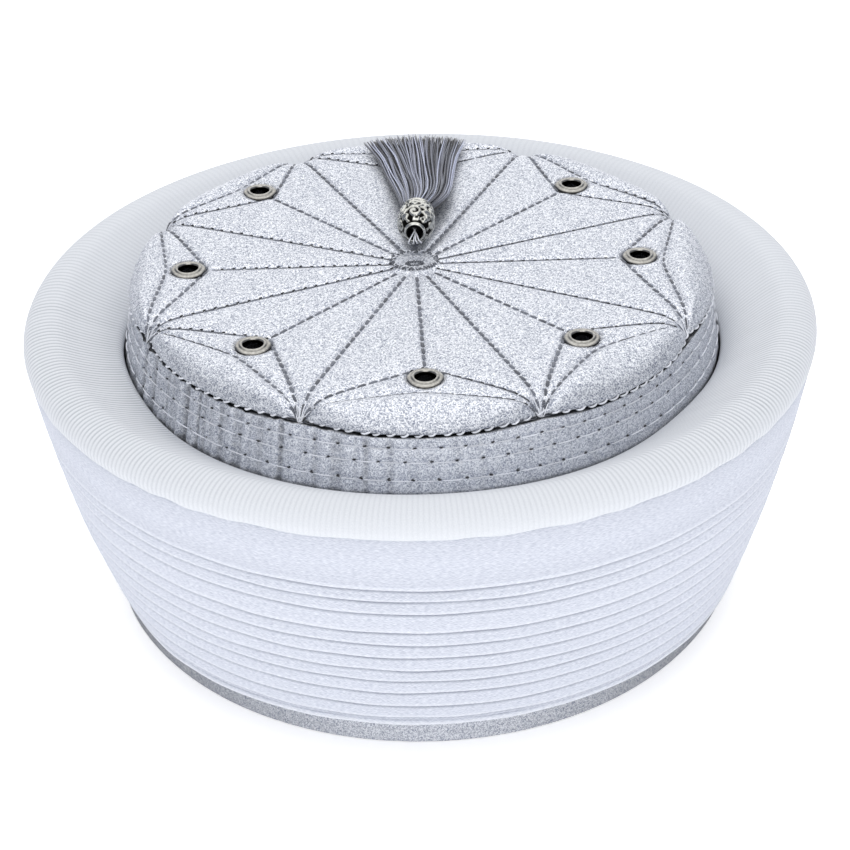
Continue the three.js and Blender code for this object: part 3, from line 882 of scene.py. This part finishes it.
def add_wrap(material):
    """Wall of wound cloth: rolled hem, eleven laid pleats that each overlap the one below, a plain band."""
    azimuth = round_steps(480)
    tilt = -1.4 * np.cos(azimuth)
    slim = places_round(azimuth, WALL_TUCK) - 0.7 * np.abs(np.cos(azimuth)) ** 3
    # This also sets how dark the pleats' painted shadows are, fainter at both sides.
    shut = 0.2 + 0.8 * np.abs(np.sin(azimuth)) ** 5  # the pleats lie flatter at both sides
    inner = cap_radius(HEM_HEIGHT, azimuth) + 0.3
    hem = wander(azimuth, 71, 8, 40, 0.12) + slim
    base = HEM_HEIGHT + wander(azimuth, 72, 2, 7, 0.15)
    # Painted shade under the hem, where the wall meets the cap.
    rows = [(inner, base + 0.5, 1), (inner + 2, base + 0.1, 1)]
    rows += [(radius + hem, base + height, painted_light) for radius, height, painted_light in HEM_SECTION]
    folds = []
    for number, height in enumerate(PLEAT_HEIGHTS):
        tilted = height + (0.35 + 0.65 * number / len(PLEAT_HEIGHTS)) * tilt
        folds.append(tilted + wander(azimuth, 80 + number, 3, 30, 0.2))
    for number, (fold, ceiling) in enumerate(zip(folds, [*folds[1:], 90])):
        rows += pleat_rows(azimuth, number, fold, ceiling, base, slim, shut)
    # Painted shade where the band meets the rim.
    rows += [
        (121.2, 90.8, 0.1), (120, 91, 0.3), (112, 86), (94.5, WALL_INNER_TOP),
        (cap_radius(50, azimuth) + 0.3, 50),
    ]
    piece = add_turned_piece("wrap_cloth", rows, azimuth, material, "white_cotton", ["wrap"], mark="painted_light")


def rib_columns():
    """Columns of points for the rim, five to each rib, and the ribs' phase there. The ribs lie closer
    together in front than at the back, and widest apart at the wearer's right."""
    azimuth = round_steps(3600)
    crowding = 1 - 0.2 * np.sin(azimuth) - places_round(azimuth, [(0.12, 183, 24)])
    phase = np.cumsum(crowding) - crowding[0]
    columns = np.arange(5 * RIB_COUNT) / (5 * RIB_COUNT)
    return np.interp(columns * crowding.sum(), phase, azimuth), columns * FULL_TURN * RIB_COUNT


def add_rim(material):
    """Padded rim under ribbed cloth, whose ribs run across it and lie slanted towards the cap."""
    azimuth, phase = rib_columns()
    lift = wander(azimuth, 155, 2, 5, 0.15) + places_round(azimuth, RIM_RISES)
    # pressed sets both how deep the ribs are and how much painted shade is in their furrows.
    pressed = 0.05 + places_round(azimuth, RIM_RIB_DEPTH_AND_SHADE)
    rib = -np.cos(phase)
    # Painted shade in the rib furrows and a painted highlight on their crests.
    furrow = np.clip(-rib, 0, 1) * (1 + wander(azimuth, 156, 30, 90, 0.12)) * pressed
    furrow = furrow - 0.55 * pressed * np.clip(rib, 0, 1)
    relief = 0.2 * rib * pressed * (1 + wander(azimuth, 152, 8, 30, 0.15))
    soft = wander(azimuth, 153, 3, 12, 0.07)
    slant = -0.05 * (1 + wander(azimuth, 151, 2, 6, 0.25))
    edge = wander(azimuth, 154, 20, 70, 0.3)
    rows = [(radius, height + edge * (radius > 120)) for radius, height in RIM_UNDERSIDE]
    for radius, height in smooth_curve(RIM_SECTION, 33):
        inwards = ramp(radius, 112, 94)
        outer = ramp(radius, 119.5, 121.5)
        lip = ramp(radius, 96, 93)
        depth = relief * (1 - 0.5 * inwards ** 2) * (1 - 0.5 * outer)
        slack = soft * (1 - lip)
        follow = lip * (cap_radius(height, azimuth) - cap_radius(height, math.pi / 2))
        # The third value is painted shade: in the furrows, and a little more towards the cap.
        rows.append((
            radius + (0.4 + 0.6 * outer) * depth + 0.4 * slack + follow,
            height + (1 - outer) * depth + 0.6 * slack * (radius < 121) + lift * inwards ** 2,
            furrow * (1 - 0.5 * lip) * (1 - 0.5 * outer) + 0.1 * inwards ** 3,
            slant * inwards ** 2,
        ))
    # Rows down into the crevice by the cap, painted dark as shade.
    for depth, painted_light in [(0.9, 0.9), (2.2, 1), (4, 1)]:
        height = RIM_SECTION[-1][1] - depth
        rows.append((cap_radius(height, azimuth) + CREVICE - 0.12 * depth, height + lift, painted_light, -0.05))
    piece = add_turned_piece(
        "rim_cloth", rows, azimuth, material, "white_ribbed_cloth", ["rim_roll"], mark="painted_light",
    )


# ---- Tassel ----

def along_bead(points):
    """Points of the bead, whose own axis is +Y from its mouth, set in place."""
    x, y, z = points.T
    cos, sin = math.cos(BEAD_YAW), math.sin(BEAD_YAW)
    return np.stack([cos * x - sin * y, sin * x + cos * y, z], -1) + BEAD_MOUTH


def scroll_relief(angle, along):
    """Height of the cast ornament, from 0 in its ground to 1: curled vines in three repeats, leaves between
    them, pits around the mouth, and a plain ring at each end."""
    repeat = FULL_TURN / 3
    leaves = np.sin(6 * angle + 1.1 * along) * np.sin(1.35 * along - 3 * angle + 0.6)
    raised = ramp(leaves, -0.2, 0.15)
    for shift, centre, size, sense in BEAD_CURLS:
        across = (np.mod(angle - shift * repeat + repeat / 2, repeat) - repeat / 2) * 5.6
        up = along - centre
        gap = np.hypot(across, up)
        spiral = np.cos(FULL_TURN * (gap / 2 + sense * np.arctan2(up, across) / FULL_TURN))
        window = 1 / (1 + np.exp(8 * (gap - size)))
        raised = raised + window * (ramp(spiral, 0.35, -0.15) - raised)
    pits = ramp(np.cos(13 * angle), 0.1, 0.5) * hump(along - 2.4, 0.5)
    raised = raised * (1 - pits)
    plain = ramp(along, 1.1, 0.9) + ramp(along, 13, 13.3)
    rings = hump(along - 1.4, 0.3) + hump(along - 12.8, 0.25)
    return np.clip(np.maximum(raised, plain) - rings, 0, 1)


def add_bead(material):
    """Hollow cast barrel that gathers the threads."""
    angle = round_steps(176)
    rows = []
    for along, radius in smooth_curve(BEAD_OUTSIDE, 104):
        relief = scroll_relief(angle, along)
        wear_and_highlight = wander(angle, 165 + int(along), 3, 20, 0.06) * (along > 2)
        rows.append((radius - 0.55 * (1 - relief) + wear_and_highlight, along, 1 - relief))
    rows += [(radius + 0 * angle, along, 1 + 0 * angle) for along, radius in smooth_curve(BEAD_INSIDE, 24)]
    points = [turned(radius, along, angle)[:, [0, 2, 1]] for radius, along, _ in rows]
    faces = grid_faces(len(rows), len(angle), True)[:, ::-1]
    add_piece(
        "bead_metal", along_bead(np.concatenate(points)), faces, material, "cast_bead_metal",
        ["tassel_bead"], marks={"dirt_and_shade": np.array([dirt_and_shade for _, _, dirt_and_shade in rows])},
    )


def fringe_paths(across, level, draw, sway):
    """Paths of tassel threads from their places, -1 to 1 across and through the skirt: packed in the bead,
    fanned behind it and cut on a curve."""
    count = len(across)
    stations = np.linspace(0, 1, 18)
    end_x = across * FRINGE_ROWS[-1, 2] + FRINGE_ROWS[-1, 1]
    end_y = FRINGE_END - end_x ** 2 / FRINGE_BOW + draw.normal(0, 0.5, count)
    start_y = FRINGE_ROWS[0, 0]
    y = start_y + (end_y - start_y)[:, None] * stations
    middle, half, low, high = (np.interp(y, FRINGE_ROWS[:, 0], FRINGE_ROWS[:, i]) for i in range(1, 5))
    phase = draw.uniform(0, FULL_TURN, count)[:, None]
    bends = draw.uniform(1.2, 2.6, count)[:, None]
    across, level = across[:, None], level[:, None]
    stray = sway * np.sin(bends * math.pi * stations + phase) * ramp(y, 20, 32)
    x = middle + (across + stray * (1 - across ** 4)) * half
    lie = level * np.sqrt(np.clip(1 - (across * 0.97) ** 2, 0, 1))
    z = (low + high) / 2 + lie * (high - low) / 2
    bead_line = BEAD_MOUTH[0] + math.sin(-BEAD_YAW) * (y - BEAD_MOUTH[1])
    x = x + (bead_line - middle) * hump(y - start_y, 7)
    return np.stack([x, y, z], -1)


def add_fringe(core_material, thread_material):
    """Tassel skirt: a packed core of threads that light hardly reaches, coloured near black as painted
    shade, and looser threads over it with painted shade on the deepest and, near the bead, the outermost.
    """
    draw = np.random.default_rng(161)
    place = np.sqrt((np.arange(CORE_THREADS) + 0.5) / CORE_THREADS)
    golden = np.arange(CORE_THREADS) * GOLDEN_ANGLE
    core = fringe_paths(0.95 * place * np.cos(golden), 0.55 * place * np.sin(golden) - 0.35, draw, 0.05)
    add_threads("fringe_core", core, 0.3, 5, core_material, "grey_rayon")
    across = np.linspace(-1, 1, LOOSE_THREADS) + draw.normal(0, 0.012, LOOSE_THREADS)
    across = np.clip(across, -1, 1)
    level = draw.permutation(np.linspace(0.05, 1, LOOSE_THREADS))
    loose = fringe_paths(across, level, draw, 0.045)
    # Painted shade on the outermost threads near the bead and on the deepest.
    outermost = np.clip(0.4 + 1.1 * across ** 4 - 0.4 * level, 0, 0.9)[:, None]
    deepest = np.clip(1.4 - 2 * level, 0, 0.88)[:, None]
    shade = np.maximum(outermost * hump(loose[..., 1] - 20, 16), deepest)
    add_threads(
        "fringe_threads", loose, 0.25, 6, thread_material, "grey_rayon", ["tassel_fringe"],
        marks={"dirt_and_shade": np.repeat(shade, 6)},
    )


def add_tassel_cord(material):
    """A few pale strands out of the bead's mouth and over its lip, back under it and down into the cap."""
    draw = np.random.default_rng(171)
    paths = []
    for strand in range(4):
        spread = (strand - 1.5) * 1.1
        knots = np.array([
            (-0.3 * spread, 3.4, 0), (0.3 * spread, 0.9, -1.2), (0.85 * spread, -0.4, -2.1),
            (1.15 * spread, -0.7, -3.1), (1.2 * spread, 0.7, -4), (0.9 * spread, 2.7, -5.1),
            (0.8 * spread, 4.6, -6.2),
        ])
        knots[1:] += draw.uniform(-0.3, 0.3, knots[1:].shape)
        paths.append(smooth_curve(knots, 16) + BEAD_MOUTH)
    add_threads("tassel_cord", paths, 0.23, 6, material, "grey_rayon", ["tassel_loop"], up=(1, 0, 0))


# ---- Materials ----

MIX_A, MIX_B, MIX_RESULT = 6, 7, 2  # sockets of a colour mix


def linear(hex_colour):
    """Linear colour from an sRGB hex value."""
    channels = [int(hex_colour[place:place + 2], 16) / 255 for place in (1, 3, 5)]
    return [c / 12.92 if c <= 0.04045 else ((c + 0.055) / 1.055) ** 2.4 for c in channels] + [1.0]


def add_node(tree, kind, inputs=None, **settings):
    """Adds one node. An input is a number, a hex colour, another node's output, or that node, whose result
    is linked. Every mix is one of colours."""
    node = tree.nodes.new("ShaderNode" + kind)
    if kind == "Mix":
        node.data_type = "RGBA"
    for name, value in settings.items():
        setattr(node, name, value)
    for socket, value in (inputs or {}).items():
        if isinstance(value, bpy.types.Node):
            value = value.outputs[MIX_RESULT if value.bl_idname == "ShaderNodeMix" else 0]
        if isinstance(value, bpy.types.NodeSocket):
            tree.links.new(value, node.inputs[socket])
        else:
            node.inputs[socket].default_value = linear(value) if isinstance(value, str) else value
    return node


def new_material(name):
    """New material without nodes, and the function that adds nodes to it."""
    material = bpy.data.materials.new(name)
    material.use_nodes = True
    material.node_tree.nodes.clear()
    return material, partial(add_node, material.node_tree)


def finish(material, surface):
    """Gives the material its surface and hands it back."""
    add_node(material.node_tree, "OutputMaterial", {"Surface": surface})
    return material


def per_metre(size_mm):
    """Scale of a pattern whose cells are that many millimetres wide."""
    return 1 / (size_mm * MM)


def silver_lame(name, dark, smooth, rough):
    """Lame: cloth woven of flat metallised yarn on a fine pale core. Every flat bit of yarn lies at its own
    angle, so the eye sees a grain of bright and grey glints: these are painted into the grain's colour, and
    each cell of the grain is also tilted and given its own roughness. The yarn is about 0.15 mm wide, which
    is too fine to show, so its grain is drawn 0.27 mm wide. dark is its darkest yarn, and smooth and rough
    the ends of its roughness."""
    material, add = new_material(name)
    place = add("TexCoord").outputs["Object"]
    grain = add("TexVoronoi", {"Vector": place, "Scale": per_metre(0.27)})
    parts = add("SeparateColor", {"Color": grain.outputs["Color"]}).outputs
    cloud = add("TexNoise", {"Vector": place, "Scale": per_metre(1), "Detail": 3})
    bright = add("Math", {0: cloud, 1: 0.6, 2: parts["Red"]}, operation="MULTIPLY_ADD")
    level = add("MapRange", {"Value": bright, "From Min": 0.3, "From Max": 1.1})
    colour = add("Mix", {0: level, MIX_A: dark, MIX_B: "#f9fbff"})
    # Painted shade: near black where the mark is high, in the needle holes, under the seam, in the crevices
    # and in the hollows of the puckers.
    shade_mark = add("Attribute", attribute_name="painted_shade").outputs["Fac"]
    pierced_and_shaded = add("Mix", {0: shade_mark, MIX_A: colour, MIX_B: "#0a0b0e"})
    gloss = add("MapRange", {"Value": parts["Green"], "To Min": smooth, "To Max": rough})
    tilt = add("Bump", {"Height": parts["Blue"], "Distance": 0.00008, "Strength": 0.7})
    surface = add(
        "BsdfPrincipled", {"Base Color": pierced_and_shaded, "Roughness": gloss, "Metallic": 0.8, "Normal": tilt},
    )
    return finish(material, surface)


def matt_cloth(material, add, weave, level, colours, shadow, relief, roughness, specular):
    """Finishes a white cotton cloth, which is matt with a faint down: two shades by its level, a relief of
    its weave, painted shade in grey where its mark is above 0 and painted highlight in white where it is
    below."""
    cloth = add("Mix", {0: level, MIX_A: colours[0], MIX_B: colours[1]})
    # Painted shade in creases, under the pleats and the hem, in the rib furrows and the rim's crevice;
    # painted highlight on the edges of folds and the crests of ribs.
    painted_light = add("Attribute", attribute_name="painted_light").outputs["Fac"]
    deep = add("MapRange", {"Value": painted_light})
    wear_and_highlight = add("MapRange", {"Value": painted_light, "From Max": -1})
    shaded = add("Mix", {0: deep, MIX_A: cloth, MIX_B: shadow})
    paler = add("Mix", {0: wear_and_highlight, MIX_A: shaded, MIX_B: "#ffffff"})
    tilt = add("Bump", {"Height": weave, "Distance": 0.00015, "Strength": relief})
    surface = add("BsdfPrincipled", {
        "Base Color": paler, "Roughness": roughness, "Normal": tilt, "Sheen Weight": 0.1,
        "Specular IOR Level": specular,
    })
    return finish(material, surface)


def cotton_twill():
    """Bleached cotton twill: matt, with fine slanting lines of thread that cross at a low angle. The threads
    are 0.2 mm apart, drawn 0.3 mm apart so that they show."""
    material, add = new_material("cotton_twill")
    place = add("UVMap", uv_map="cloth")
    lines = []
    for degrees in (16, -20):
        stretch = {"Vector": place, "Rotation": (0, 0, math.radians(degrees)), "Scale": (1.7, 0.26, 1)}
        slanted = add("Mapping", stretch, vector_type="TEXTURE")
        lines.append(add("TexNoise", {"Vector": slanted, "Scale": 1, "Detail": 1}))
    weave = add("Math", {0: lines[0], 1: lines[1]}, operation="ADD")
    level = add("MapRange", {"Value": weave, "From Min": 0.7, "From Max": 1.3})
    return matt_cloth(material, add, weave, level, ("#b8bdca", "#dfe2ea"), "#6f7584", 0.5, 0.85, 0.3)


def ribbed_knit():
    """Bleached cotton rib: matt, soft and slightly warmer than the twill, with painted shade grey in its
    furrows.
    """
    material, add = new_material("ribbed_knit")
    place = add("UVMap", uv_map="cloth")
    fibres = add("TexNoise", {"Vector": place, "Scale": 2.4, "Detail": 3})
    return matt_cloth(material, add, fibres, fibres, ("#ccd0d6", "#e6e8eb"), "#4f5561", 0.4, 0.9, 0.25)


def spun_thread(name, dark, light, roughness, uneven=0.15, packed=False):
    """Two-ply spun thread: its twist shows as slanting bands of painted light and shade, about one in 0.9
    mm, over a bump of the same bands. uneven is how much one thread's shade differs from the next; packed
    threads get painted shade, darkest near the tassel's bead."""
    material, add = new_material(name)
    place = add("UVMap", uv_map="cloth")
    parts = add("SeparateXYZ", {"Vector": place}).outputs
    twist = add("Math", {0: parts["Y"], 1: 1.1, 2: parts["X"]}, operation="MULTIPLY_ADD")
    turn = add("Math", {0: twist, 1: 4 * math.pi}, operation="MULTIPLY")
    wave = add("Math", {0: turn}, operation="SINE")
    level = add("MapRange", {"Value": wave, "From Min": -1})
    colour = add("Mix", {0: level, MIX_A: dark, MIX_B: light})
    number = add("Math", {0: parts["X"], 1: THREAD_STEP}, operation="DIVIDE")
    whole = add("Math", {0: number}, operation="FLOOR")
    chance = add("TexWhiteNoise", {"W": whole}, noise_dimensions="1D")
    shade = add("MapRange", {"Value": chance, "To Min": 1 - uneven, "To Max": 1 + uneven})
    # Packed threads get painted shade, darkest near the bead.
    if packed:
        depth = add(
            "MapRange", {"Value": parts["Y"], "From Min": 10, "From Max": 48, "To Min": 0.12, "To Max": 1},
        )
        shade = add("Math", {0: shade, 1: depth}, operation="MULTIPLY")
    varied = add("VectorMath", {0: colour, "Scale": shade}, operation="SCALE")
    # Painted shade: near black where the mark is high.
    dirt_and_shade = add("Attribute", attribute_name="dirt_and_shade").outputs["Fac"]
    shaded = add("Mix", {0: dirt_and_shade, MIX_A: varied, MIX_B: "#14151f"})
    relief = add("Bump", {"Height": level, "Distance": 0.00008})
    surface = add("BsdfPrincipled", {
        "Base Color": shaded, "Roughness": roughness, "Normal": relief, "Sheen Weight": 0.2,
    })
    return finish(material, surface)


def worn_metal(name, patch, colours, dark_colour, dark_range, gloss_range, dull_where_dark):
    """Plated metal in two shades, in patches that many millimetres wide, darker where its mark is high. Its
    roughness follows that darkening if the darkening is dull, else the patches."""
    material, add = new_material(name)
    place = add("TexCoord").outputs["Object"]
    patches = add("TexNoise", {"Vector": place, "Scale": per_metre(patch), "Detail": 4})
    dirt_and_shade = add("Attribute", attribute_name="dirt_and_shade").outputs["Fac"]
    low, high = dark_range
    # Darker where the mark is high: painted shade on the eyelets, the blackened patina of the bead's
    # grooves.
    darkened = add("MapRange", {"Value": dirt_and_shade, "From Min": low, "From Max": high})
    metal = add("Mix", {0: patches, MIX_A: colours[0], MIX_B: colours[1]})
    colour = add("Mix", {0: darkened, MIX_A: metal, MIX_B: dark_colour})
    smooth, rough = gloss_range
    source = darkened if dull_where_dark else patches
    gloss = add("MapRange", {"Value": source, "To Min": smooth, "To Max": rough})
    surface = add("BsdfPrincipled", {"Base Color": colour, "Metallic": 1, "Roughness": gloss})
    return finish(material, surface)


def nickel_plate():
    """Nickel plate on stamped brass: warm grey metal, worn to a soft polish, with painted shade where it
    meets the cloth and in its bore."""
    shades = ("#6f6d69", "#cbc9c3")
    return worn_metal("nickel_plate", 0.8, shades, "#161514", (0, 1), (0.06, 0.22), dull_where_dark=False)


def antique_nickel():
    """Cast zinc with antique nickel plate: bright on its body, blackened and dull in the grooves."""
    shades = ("#8f8f89", "#e6e6e0")
    return worn_metal("antique_nickel", 1.2, shades, "#121210", (0.46, 0.95), (0.07, 0.6), dull_where_dark=True)


def lit_acrylic():
    """White acrylic sheet, satin and lit faintly from below, which evens out the soft shadows."""
    material, add = new_material("lit_acrylic")
    place = add("TexCoord").outputs["Object"]
    mottle = add("TexNoise", {"Vector": place, "Scale": per_metre(300)})
    colour = add("Mix", {0: mottle, MIX_A: "#fafafb", MIX_B: "#fdfdfe"})
    surface = add("BsdfPrincipled", {
        "Base Color": colour, "Roughness": 0.95, "Emission Color": "#ffffff", "Emission Strength": 0.42,
    })
    return finish(material, surface)


# ---- Assembly ----

add_camera()
add_studio()

top_lame = silver_lame("silver_lame", "#7c8497", 0.4, 0.62)
# The side's copy of the lame is paler, as painted light on the shaded side.
side_lame = silver_lame("silver_lame_painted_paler", "#a0a6b6", 0.5, 0.75)
twill = cotton_twill()
grey_thread = spun_thread("grey_polyester_thread", "#383b44", "#7b808b", 0.5, uneven=0.35)
pale_thread = spun_thread("pale_polyester_thread", "#d3d8e3", "#fbfcff", 0.45)
rayon = spun_thread("grey_rayon", "#535a70", "#c6cbde", 0.3, uneven=0.75)
# The core is the same grey rayon, coloured near black as painted shade.
core_rayon = spun_thread("grey_rayon_core_painted_shade", "#0f0f14", "#24252d", 0.5, uneven=0.5, packed=True)
# Near-black thread for the dashes of painted shade at the needle holes.
stitch_shade_thread = spun_thread("painted_stitch_shade_thread", "#101114", "#2a2c32", 0.6)

add_cap_side(side_lame)
add_cap_top(top_lame)
add_star_stitching(grey_thread)
add_painted_stitch_shade(stitch_shade_thread)
add_tip_tacks(pale_thread)
add_centre_ring(grey_thread, pale_thread)
add_seam_stitching(pale_thread)
add_side_stitching(pale_thread)
add_eyelets(nickel_plate())
add_lining(twill)
add_wrap(twill)
add_rim(ribbed_knit())
add_bead(antique_nickel())
add_fringe(core_rayon, rayon)
add_tassel_cord(pale_thread)
